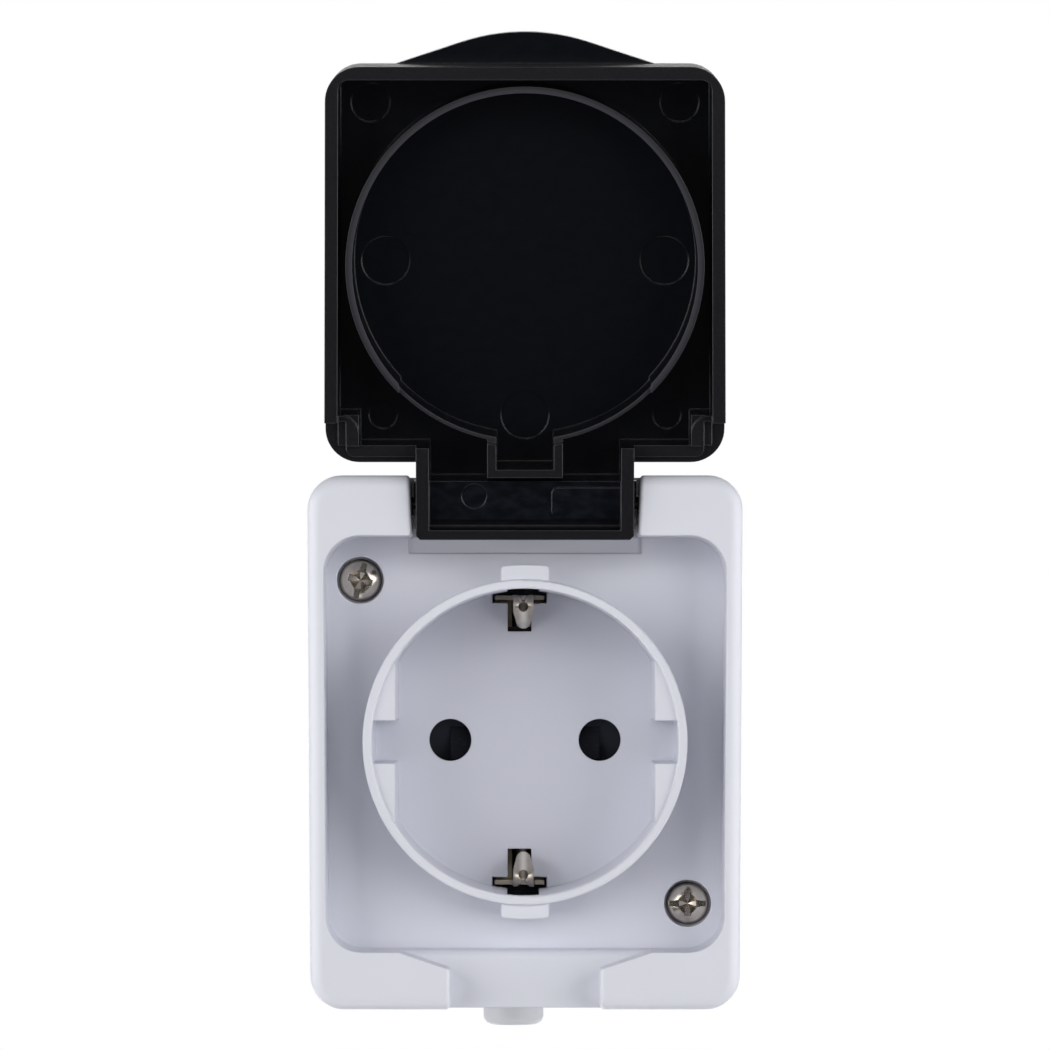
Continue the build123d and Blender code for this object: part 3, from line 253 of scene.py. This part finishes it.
def nickelPlatedSteel(look):
    material, tree, shader = newMaterial("nickelPlatedSteel", {"Metallic": 1.0})
    place = addNode(tree, "TexCoord", out="Object")
    patch = addNode(tree, "TexNoise", {}, {
        "Vector": place, "Scale": 1 / (look["patchMm"] * mm), "Detail": octaves["patch"]})
    colour = addNode(tree, "MixRGB", {}, {
        "Fac": patch, "Color1": linear(look["bright"]), "Color2": linear(look["dull"])})
    # painted shade: dark brown where the head's recesses close in and where its flanks turn steep
    clear = addNode(tree, "AmbientOcclusion", {"samples": look["recessSamples"], "only_local": True}, {
        "Distance": look["recessMm"] * mm}, "AO")
    clear = addNode(tree, "MapRange", {}, {
        "Value": clear, "From Min": look["shade"][0], "From Max": look["shade"][1]})
    facet = addNode(tree, "NewGeometry", out="True Normal")
    level = addNode(tree, "VectorMath", {"operation": "DOT_PRODUCT"}, {0: facet, 1: look["axis"]}, "Value")
    level = addNode(tree, "MapRange", {}, {
        "Value": level, "From Min": look["steep"][0], "From Max": look["steep"][1]})
    clear = addNode(tree, "Math", {"operation": "MINIMUM"}, {0: clear, 1: level})
    colour = addNode(tree, "MixRGB", {}, {"Fac": clear, "Color1": linear(look["paintedShade"]), "Color2": colour})
    gloss = addNode(tree, "MapRange", {}, {
        "Value": patch, "To Min": look["roughness"][0], "To Max": look["roughness"][1]})
    dent = addNode(tree, "TexNoise", {}, {
        "Vector": place, "Scale": 1 / (look["dentMm"] * mm), "Detail": octaves["fine"]})
    edge = addNode(tree, "Bevel", {"samples": bevelSamples}, {"Radius": look["edgeMm"] * mm})
    bump = addNode(tree, "Bump", {}, {
        "Strength": look["dentStrength"], "Distance": look["dentDepthMm"] * mm, "Height": dent,
        "Normal": edge})
    finishMaterial(tree, shader, colour, gloss, bump)
    return material


# Brass strip, nickel plated, its fingers pressed to a crowned section: soft grey-beige with fine lines
# from rolling, drawn coarser than their 0.02 mm, and a highlight painted as a pale band down the middle of
# each finger
strapLook = {
    "bright": "#D3CABB", "dull": "#A99E8F", "patchMm": 1.6, "roughness": (0.24, 0.38), "edgeMm": 0.12,
    "fingerMm": -0.2, "crownMm": 1.5, "crownDepthMm": 0.5, "crownStrength": 1.0,
    "paintedHighlight": "#F3EBDD", "highlightMm": 0.75,
    "lineMm": 0.12, "lineWay": (1.0, 0.05, 0.05), "lineDepthMm": 0.006, "lineStrength": 0.4,
}


def nickelPlatedBrass(look):
    material, tree, shader = newMaterial("nickelPlatedBrass", {"Metallic": 1.0})
    place = addNode(tree, "TexCoord", out="Object")
    sideways = addNode(tree, "SeparateXYZ", {}, {0: place}, "X")
    patch = addNode(tree, "TexNoise", {}, {
        "Vector": place, "Scale": 1 / (look["patchMm"] * mm), "Detail": octaves["patch"]})
    colour = addNode(tree, "MixRGB", {}, {
        "Fac": patch, "Color1": linear(look["bright"]), "Color2": linear(look["dull"])})
    gloss = addNode(tree, "MapRange", {}, {
        "Value": patch, "To Min": look["roughness"][0], "To Max": look["roughness"][1]})
    lines = addNode(tree, "VectorMath", {"operation": "MULTIPLY"}, {0: place, 1: look["lineWay"]})
    lines = addNode(tree, "TexNoise", {}, {
        "Vector": lines, "Scale": 1 / (look["lineMm"] * mm), "Detail": octaves["fine"]})
    edge = addNode(tree, "Bevel", {"samples": bevelSamples}, {"Radius": look["edgeMm"] * mm})
    bump = addNode(tree, "Bump", {}, {
        "Strength": look["lineStrength"], "Distance": look["lineDepthMm"] * mm, "Height": lines,
        "Normal": edge})
    offset = addNode(tree, "Math", {"operation": "SUBTRACT"}, {0: sideways, 1: look["fingerMm"] * mm})
    offset = addNode(tree, "Math", {"operation": "DIVIDE"}, {0: offset, 1: look["crownMm"] * mm})
    crown = addNode(tree, "Math", {"operation": "MULTIPLY"}, {0: offset, 1: offset})
    crown = addNode(tree, "Math", {"operation": "SUBTRACT", "use_clamp": True}, {0: 1.0, 1: crown})
    bump = addNode(tree, "Bump", {}, {
        "Strength": look["crownStrength"], "Distance": look["crownDepthMm"] * mm, "Height": crown,
        "Normal": bump})
    # painted highlight: a pale band down the middle of each finger
    paintedHighlightMask = addNode(tree, "Math", {"operation": "ABSOLUTE"}, {0: offset})
    paintedHighlightMask = addNode(tree, "MapRange", {"interpolation_type": "SMOOTHSTEP"}, {
        "Value": paintedHighlightMask, "From Min": look["highlightMm"] / look["crownMm"], "From Max": 0.0})
    colour = addNode(tree, "MixRGB", {}, {"Fac": paintedHighlightMask, "Color1": colour, "Color2": linear(look["paintedHighlight"])})
    finishMaterial(tree, shader, colour, gloss, bump)
    return material


# Rolled and drawn metal: patches of tarnish over fine lines that run one way, which stretch each
# highlight across them. The lines of a mill roll are near 0.02 mm and are drawn coarser.
metalLooks = {
    "brassStrip": {
        "bright": "#D8B36A", "dull": "#A67F3F", "patchMm": 2.4, "roughness": (0.2, 0.38), "edgeMm": 0.1,
        "lineMm": 0.16, "lineWay": (1.0, 0.06, 1.0), "lineDepthMm": 0.008, "lineStrength": 0.5,
        "names": ("line_contact", "neutral_contact", "line_clamp", "neutral_clamp", "earth_clamp"),
    },
    "springSteel": {
        "bright": "#9C9B9A", "dull": "#6C6A6E", "patchMm": 1.4, "roughness": (0.22, 0.36), "edgeMm": 0.08,
        "lineMm": 0.1, "lineWay": (0.1, 1.0, 1.0), "lineDepthMm": 0.006, "lineStrength": 0.5,
        "names": ("line_contact_spring", "neutral_contact_spring", "shutter_spring"),
    },
    "blackenedSteel": {
        "bright": "#2A2A2D", "dull": "#131316", "patchMm": 1.2, "roughness": (0.34, 0.5), "edgeMm": 0.1,
        "lineMm": 0.12, "lineWay": (1.0, 0.05, 0.05), "lineDepthMm": 0.008, "lineStrength": 0.5,
        "names": ("hinge_pin",),
    },
}


def rolledMetal(name, look):
    material, tree, shader = newMaterial(name, {"Metallic": 1.0})
    place = addNode(tree, "TexCoord", out="Object")
    patch = addNode(tree, "TexNoise", {}, {
        "Vector": place, "Scale": 1 / (look["patchMm"] * mm), "Detail": octaves["patch"]})
    colour = addNode(tree, "MixRGB", {}, {
        "Fac": patch, "Color1": linear(look["bright"]), "Color2": linear(look["dull"])})
    gloss = addNode(tree, "MapRange", {}, {
        "Value": patch, "To Min": look["roughness"][0], "To Max": look["roughness"][1]})
    lines = addNode(tree, "VectorMath", {"operation": "MULTIPLY"}, {0: place, 1: look["lineWay"]})
    lines = addNode(tree, "TexNoise", {}, {
        "Vector": lines, "Scale": 1 / (look["lineMm"] * mm), "Detail": octaves["fine"]})
    edge = addNode(tree, "Bevel", {"samples": bevelSamples}, {"Radius": look["edgeMm"] * mm})
    bump = addNode(tree, "Bump", {}, {
        "Strength": look["lineStrength"], "Distance": look["lineDepthMm"] * mm, "Height": lines,
        "Normal": edge})
    finishMaterial(tree, shader, colour, gloss, bump)
    return material


# Polyamide with glass fibre: dull, with short pale flecks where fibres reach the skin, drawn coarser than
# the 0.01 mm of a fibre. The carrier is a dark brown grade, and the shutter a black one whose leaning
# ramps are painted paler to lift the shade that falls on them.
fibreLooks = {
    "brownPolyamide": {
        "ior": 1.53, "shine": 0.5, "colour": "#2B1F15", "roughness": (0.46, 0.62), "cloudMm": 5.0,
        "fleck": "#45362A", "fleckFrom": (0.58, 0.7), "fleckMm": 0.4, "fleckWay": (1.0, 1.0, 0.25),
        "fleckDepthMm": 0.01, "fleckStrength": 0.5, "edgeMm": 0.15, "names": ("contact_carrier",),
    },
    "blackPolyamide": {
        "ior": 1.53, "shine": 0.15, "colour": "#1E2027", "roughness": (0.55, 0.7), "cloudMm": 4.0,
        "fleck": "#25282F", "fleckFrom": (0.58, 0.7), "fleckMm": 0.3, "fleckWay": (0.3, 1.0, 1.0),
        "fleckDepthMm": 0.008, "fleckStrength": 0.5, "edgeMm": 0.12, "names": ("shutter",),
        "paintedRampLight": "#363941", "front": (0.0, -1.0, 0.0), "level": 0.95,
    },
}


def fibreFilledPolymer(name, look):
    material, tree, shader = newMaterial(name, {"IOR": look["ior"], "Specular IOR Level": look["shine"]})
    place = addNode(tree, "TexCoord", out="Object")
    cloud = addNode(tree, "TexNoise", {}, {
        "Vector": place, "Scale": 1 / (look["cloudMm"] * mm), "Detail": octaves["fine"]})
    gloss = addNode(tree, "MapRange", {}, {
        "Value": cloud, "To Min": look["roughness"][0], "To Max": look["roughness"][1]})
    fleck = addNode(tree, "VectorMath", {"operation": "MULTIPLY"}, {0: place, 1: look["fleckWay"]})
    fleck = addNode(tree, "TexNoise", {}, {
        "Vector": fleck, "Scale": 1 / (look["fleckMm"] * mm), "Detail": octaves["fleck"]})
    fleck = addNode(tree, "MapRange", {}, {
        "Value": fleck, "From Min": look["fleckFrom"][0], "From Max": look["fleckFrom"][1]})
    colour = addNode(tree, "MixRGB", {}, {
        "Fac": fleck, "Color1": linear(look["colour"]), "Color2": linear(look["fleck"])})
    # painted light: faces that lean away from the front are made paler to lift their shade
    if "paintedRampLight" in look:
        facet = addNode(tree, "NewGeometry", out="True Normal")
        level = addNode(tree, "VectorMath", {"operation": "DOT_PRODUCT"}, {
            0: facet, 1: look["front"]}, "Value")
        leaning = addNode(tree, "Math", {"operation": "LESS_THAN"}, {0: level, 1: look["level"]})
        colour = addNode(tree, "MixRGB", {}, {
            "Fac": leaning, "Color1": colour, "Color2": linear(look["paintedRampLight"])})
    edge = addNode(tree, "Bevel", {"samples": bevelSamples}, {"Radius": look["edgeMm"] * mm})
    bump = addNode(tree, "Bump", {}, {
        "Strength": look["fleckStrength"], "Distance": look["fleckDepthMm"] * mm, "Height": fleck,
        "Normal": edge})
    finishMaterial(tree, shader, colour, gloss, bump)
    return material


# Soft polymers: no gloss to speak of, a faint bloom of talc in patches, and a skin as fine as an eggshell
softLooks = {
    "paleElastomer": {
        "ior": 1.5, "colour": "#DDDEE4", "bloom": "#E4E5EA", "patchMm": 3.0, "roughness": (0.55, 0.7),
        "edgeMm": 0.3, "skinMm": 0.25, "skinDepthMm": 0.015, "skinStrength": 0.3,
        "names": ("cable_grommet",),
    },
    "blackRubber": {
        "ior": 1.5, "colour": "#121212", "bloom": "#1F1F20", "patchMm": 1.5, "roughness": (0.7, 0.85),
        "edgeMm": 0.15, "skinMm": 0.2, "skinDepthMm": 0.02, "skinStrength": 0.3,
        "names": ("cover_gasket",),
    },
}


def softPolymer(name, look):
    material, tree, shader = newMaterial(name, {"IOR": look["ior"]})
    place = addNode(tree, "TexCoord", out="Object")
    patch = addNode(tree, "TexNoise", {}, {
        "Vector": place, "Scale": 1 / (look["patchMm"] * mm), "Detail": octaves["patch"]})
    colour = addNode(tree, "MixRGB", {}, {
        "Fac": patch, "Color1": linear(look["colour"]), "Color2": linear(look["bloom"])})
    gloss = addNode(tree, "MapRange", {}, {
        "Value": patch, "To Min": look["roughness"][0], "To Max": look["roughness"][1]})
    skin = addNode(tree, "TexVoronoi", {}, {"Vector": place, "Scale": 1 / (look["skinMm"] * mm)})
    edge = addNode(tree, "Bevel", {"samples": bevelSamples}, {"Radius": look["edgeMm"] * mm})
    bump = addNode(tree, "Bump", {}, {
        "Strength": look["skinStrength"], "Distance": look["skinDepthMm"] * mm, "Height": skin,
        "Normal": edge})
    finishMaterial(tree, shader, colour, gloss, bump)
    return material


dress(mouldedPolycarbonate(housingLook), "front_cover", "rear_base")
dress(blackAbs(lidLook), "lid")
dress(nickelPlatedSteel(screwLook), "cover_screws", "carrier_screws", "terminal_screws")
dress(nickelPlatedBrass(strapLook), "earth_strap")
for name, look in metalLooks.items():
    dress(rolledMetal(name, look), *look["names"])
for name, look in fibreLooks.items():
    dress(fibreFilledPolymer(name, look), *look["names"])
for name, look in softLooks.items():
    dress(softPolymer(name, look), *look["names"])
print("materials done")


def meshObject(name, points, faces):
    mesh = bpy.data.meshes.new(name)
    mesh.from_pydata(points, [], faces)
    piece = bpy.data.objects.new(name, mesh)
    bpy.context.scene.collection.objects.link(piece)
    return piece


# Cover screws: pan heads with a slot right across and a shorter, deeper cross, on threaded shanks
screwShape = {
    "radiusMm": 2.68, "sideMm": 0.35, "headMm": 2.0, "breakMm": 0.08, "domeRows": 14, "around": 64,
    "slotWidthMm": 0.72, "slotDepthMm": 0.85,
    "wingMm": 1.85, "wingWidthMm": 0.9, "wingCornerMm": 0.95, "crossDepthMm": 0.9,
    "footMm": 1.0, "footWidthMm": 0.75, "footCornerMm": 0.35, "tipDepthMm": 1.4,
    "shankMm": 1.75, "coreMm": 1.35, "plainMm": 3.0, "pointMm": 2.5,
    "pitchMm": 1.25, "ridgeShare": 0.5, "rowsPerTurn": 10,
    "turnDegrees": (75.0, 0.0), "sharpDegrees": 30.0,
}


def turnedScrew(shape, length):  # rings of points from the screw's point up to the crown of its head
    around = shape["around"]
    radius = shape["radiusMm"]
    ridgeMm = shape["shankMm"] - shape["coreMm"]
    threaded = length - shape["plainMm"]
    rings = []
    rows = int(threaded / shape["pitchMm"] * shape["rowsPerTurn"])
    for row in range(1, rows + 1):
        height = -length + threaded * row / rows
        taper = min(1.0, (height + length) / shape["pointMm"])
        runOut = min(1.0, (-shape["plainMm"] - height) / shape["pitchMm"])
        ring = []
        for i in range(around):
            phase = (height / shape["pitchMm"] - i / around) % 1.0
            ridge = max(0.0, 1.0 - abs(phase - 0.5) * 2 / shape["ridgeShare"])
            ring.append((shape["coreMm"] + ridgeMm * max(ridge, 1.0 - runOut)) * taper)
        rings.append((height, ring))
    rings.append((0.0, [shape["shankMm"]] * around))
    rings.append((0.0, [radius - shape["breakMm"]] * around))
    rings.append((shape["breakMm"], [radius] * around))
    for row in range(shape["domeRows"]):
        turn = math.pi / 2 * row / shape["domeRows"]
        height = shape["sideMm"] + (shape["headMm"] - shape["sideMm"]) * math.sin(turn)
        rings.append((height, [radius * math.cos(turn)] * around))
    points = [(0, 0, -length)]
    for height, ring in rings:
        for i, reach in enumerate(ring):
            turn = 2 * math.pi * i / around
            points.append((reach * math.cos(turn), reach * math.sin(turn), height))
    points.append((0, 0, shape["headMm"]))
    faces = []
    for i in range(around):
        j = (i + 1) % around
        faces.append((0, 1 + j, 1 + i))
        for row in range(len(rings) - 1):
            start = 1 + row * around
            faces.append((start + i, start + j, start + around + j, start + around + i))
        start = 1 + (len(rings) - 1) * around
        faces.append((start + i, start + j, len(points) - 1))
    return meshObject("screwBlank", points, faces)


def crossOutline(wing, width, corner, height):
    half = width / 2
    arm = [(wing, -half), (wing, half), (half + corner, half), (half, half + corner)]
    outline = []
    for quarter in range(4):
        turn = math.pi / 2 * quarter
        for x, y in arm:
            outline.append((
                x * math.cos(turn) - y * math.sin(turn), x * math.sin(turn) + y * math.cos(turn), height))
    return outline


def crossTool(shape):  # wings that narrow downwards, then four slopes to one point
    head = shape["headMm"]
    mouth = crossOutline(shape["wingMm"], shape["wingWidthMm"], shape["wingCornerMm"], head)
    cap = [(x, y, z + shape["slotWidthMm"]) for x, y, z in mouth]
    foot = crossOutline(
        shape["footMm"], shape["footWidthMm"], shape["footCornerMm"], head - shape["crossDepthMm"])
    count = len(mouth)
    points = cap + mouth + foot + [(0, 0, head - shape["tipDepthMm"])]
    faces = [tuple(range(count))]
    for i in range(count):
        j = (i + 1) % count
        faces.append((j, i, count + i, count + j))
        faces.append((count + j, count + i, 2 * count + i, 2 * count + j))
        faces.append((2 * count + j, 2 * count + i, 3 * count))
    return meshObject("crossTool", points, faces)


def slotTool(shape):
    half = shape["slotWidthMm"] / 2
    low = shape["headMm"] - shape["slotDepthMm"]
    high = shape["headMm"] + shape["slotWidthMm"]
    reach = shape["radiusMm"] + shape["slotWidthMm"]
    corners = ((-reach, -half), (reach, -half), (reach, half), (-reach, half))
    points = [(x, y, z) for z in (low, high) for x, y in corners]
    faces = [(3, 2, 1, 0), (4, 5, 6, 7), (0, 1, 5, 4), (1, 2, 6, 5), (2, 3, 7, 6), (3, 0, 4, 7)]
    return meshObject("slotTool", points, faces)


def carve(blank, tools):
    for tool in tools:
        cut = blank.modifiers.new("cut", "BOOLEAN")
        cut.operation = "DIFFERENCE"
        cut.solver = "EXACT"
        cut.object = tool
    bpy.context.view_layer.update()
    mesh = bpy.data.meshes.new_from_object(blank.evaluated_get(bpy.context.evaluated_depsgraph_get()))
    for tool in tools:
        bpy.data.objects.remove(tool)
    bpy.data.objects.remove(blank)
    return mesh


def coverScrews(shape):  # both stand in corners of their node's box, on its diagonal
    low, high = [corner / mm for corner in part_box("cover_screws")]
    radius = shape["radiusMm"]
    length = high.y - low.y - shape["headMm"]
    places = [(low.x + radius, high.z - radius), (high.x - radius, low.z + radius)]
    parts = bmesh.new()
    for place, degrees in zip(places, shape["turnDegrees"]):
        mesh = carve(turnedScrew(shape, length), [slotTool(shape), crossTool(shape)])
        turn = Matrix.Rotation(math.radians(degrees), 4, "Z")
        stand = Matrix.Rotation(math.pi / 2, 4, "X")
        seat = Matrix.Translation((place[0], low.y + shape["headMm"], place[1]))
        mesh.transform(Matrix.Scale(mm, 4) @ seat @ stand @ turn)
        parts.from_mesh(mesh)
    whole = bpy.data.meshes.new("coverScrews")
    parts.to_mesh(whole)
    parts.free()
    whole.shade_smooth()
    whole.set_sharp_from_angle(angle=math.radians(shape["sharpDegrees"]))
    whole.materials.append(nodes["cover_screws"].data.materials[0])
    piece = bpy.data.objects.new("coverScrews", whole)
    bpy.context.scene.collection.objects.link(piece)
    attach(piece, "housing")
    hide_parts("cover_screws")


coverScrews(screwShape)
print("cover screws cut")


# Shutter spring: round wire in even turns
springShape = {"wireMm": 0.35, "turns": 6, "stepsPerTurn": 28, "around": 8, "pressedShare": 0.98}


def shutterSpring(shape):
    low, high = [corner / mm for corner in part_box("shutter_spring")]
    whole = high.z - low.z
    wire = shape["wireMm"] / 2
    radius = (high.x - low.x) / 2 - wire
    rise = whole - 2 * wire
    slope = math.atan2(rise / shape["turns"], 2 * math.pi * radius)
    steps = shape["turns"] * shape["stepsPerTurn"]
    around = shape["around"]
    points = []
    for step in range(steps + 1):
        turn = 2 * math.pi * step / shape["stepsPerTurn"]
        outward = Vector((math.cos(turn), math.sin(turn), 0))
        upward = Vector((outward.y * math.sin(slope), -outward.x * math.sin(slope), math.cos(slope)))
        middle = Vector((0, (low.y + high.y) / 2, low.z + wire + rise * step / steps)) + outward * radius
        for i in range(around):
            angle = 2 * math.pi * i / around
            points.append((middle + (outward * math.cos(angle) + upward * math.sin(angle)) * wire) * mm)
    faces = [tuple(range(around)), tuple(reversed(range(steps * around, (steps + 1) * around)))]
    for step in range(steps):
        start = step * around
        for i in range(around):
            j = (i + 1) % around
            faces.append((start + i, start + around + i, start + around + j, start + j))
    piece = meshObject("shutterSpring", points, faces)
    piece.data.shade_smooth()
    piece.data.materials.append(nodes["shutter_spring"].data.materials[0])
    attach(piece, "housing")
    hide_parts("shutter_spring")
    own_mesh(piece)


shutterSpring(springShape)
print("shutter spring wound")


# Long lens, straight at the socket, from a little above the plug's axis
cameraPlace = {
    "heightMm": 9.0, "distanceMm": 600.0, "aimMm": 26.8, "frontMm": 46.0, "framePixels": 1050,
    "scalePixels": 4860, "sensorMm": 36.0, "nearestMm": 10.0,
}


def photoCamera(view):
    data = bpy.data.cameras.new("camera")
    data.sensor_width = view["sensorMm"]
    data.lens = view["sensorMm"] * view["scalePixels"] / view["framePixels"]
    data.clip_start = view["nearestMm"] * mm
    camera = bpy.data.objects.new("camera", data)
    bpy.context.scene.collection.objects.link(camera)
    camera.location = Vector((0, -view["frontMm"] - view["distanceMm"], view["heightMm"])) * mm
    aim = Vector((0, -view["frontMm"], view["aimMm"])) * mm
    camera.rotation_euler = (aim - camera.location).to_track_quat("-Z", "Y").to_euler()
    bpy.context.scene.camera = camera


photoCamera(cameraPlace)
print("camera placed")


# Softboxes left and right in front, taller ones level at the sides, weak ones above the camera and below,
# and one behind that washes the paper: place, target, width, height in metres, and watts
lights = {
    "keyLeft": ((-0.6, -0.6, 0.1), (0, -0.04, 0.01), 0.7, 0.6, 3.8),
    "keyRight": ((0.6, -0.6, 0.1), (0, -0.04, 0.01), 0.7, 0.6, 3.8),
    "sideLeft": ((-0.9, -0.04, 0.05), (0, -0.04, 0.01), 0.5, 1.0, 4.6),
    "sideRight": ((0.9, -0.04, 0.05), (0, -0.04, 0.01), 0.5, 1.0, 4.6),
    "frontSoft": ((0, -1.0, 0.35), (0, -0.04, 0.01), 0.5, 0.25, 1.0),
    "lowSoft": ((0, -0.4, -0.8), (0, -0.04, 0.01), 1.0, 0.5, 1.1),
    "wallLight": ((0, 0.6, -0.7), (0, 1.7, 0.1), 2.5, 0.6, 42.0),
}


def softbox(name, place, target, width, height, power):
    data = bpy.data.lights.new(name, "AREA")
    data.shape = "RECTANGLE"
    data.size = width
    data.size_y = height
    data.energy = power
    light = bpy.data.objects.new(name, data)
    bpy.context.scene.collection.objects.link(light)
    light.location = place
    light.rotation_euler = (Vector(target) - Vector(place)).to_track_quat("-Z", "Y").to_euler()


for name, values in lights.items():
    softbox(name, *values)
print("lights placed")


# Room and pale paper sweep: both light the socket softly, and both are plain white where they are seen
# behind it. The paper's floor is far below and curves up into a wall far behind, in metres.
room = {"strength": 0.033, "colour": "#FFFFFF", "behind": 1.0}
sweep = {
    "floor": -0.9, "wall": 1.7, "front": -0.6, "half": 1.2, "top": 2.4, "bend": 0.8, "steps": 16,
    "colour": "#F7F7F7", "roughness": 0.9,
}


def whiteBehind(tree, kind, output, lit, shade):
    white = addNode(tree, kind, {}, {"Color": linear(shade["colour"]), "Strength": shade["behind"]})
    seen = addNode(tree, "LightPath", out="Is Camera Ray")
    both = addNode(tree, "MixShader", {}, {0: seen, 1: lit, 2: white})
    tree.links.new(both, tree.nodes[output].inputs["Surface"])


def studioRoom(shade):
    world = bpy.data.worlds.new("studioRoom")
    world.use_nodes = True
    dim = world.node_tree.nodes["Background"]
    dim.inputs["Color"].default_value = linear(shade["colour"])
    dim.inputs["Strength"].default_value = shade["strength"]
    whiteBehind(world.node_tree, "Background", "World Output", dim.outputs[0], shade)
    bpy.context.scene.world = world


def paperSweep(shape, shade):
    bend = shape["bend"]
    profile = [(shape["front"], shape["floor"])]
    for i in range(shape["steps"] + 1):
        turn = math.pi / 2 * i / shape["steps"]
        profile.append((
            shape["wall"] - bend + bend * math.sin(turn), shape["floor"] + bend - bend * math.cos(turn)))
    profile.append((shape["wall"], shape["top"]))
    points = [(x, y, z) for y, z in profile for x in (-shape["half"], shape["half"])]
    faces = [(2 * i, 2 * i + 1, 2 * i + 3, 2 * i + 2) for i in range(len(profile) - 1)]
    paper = meshObject("paperSweep", points, faces)
    paper.data.shade_smooth()
    material, tree, shader = newMaterial("whitePaper", {
        "Base Color": linear(shape["colour"]), "Roughness": shape["roughness"]})
    whiteBehind(tree, "Emission", "Material Output", shader.outputs[0], shade)
    paper.data.materials.append(material)


studioRoom(room)
paperSweep(sweep, room)
bpy.context.scene.view_settings.view_transform = "Standard"
print("room and paper done")
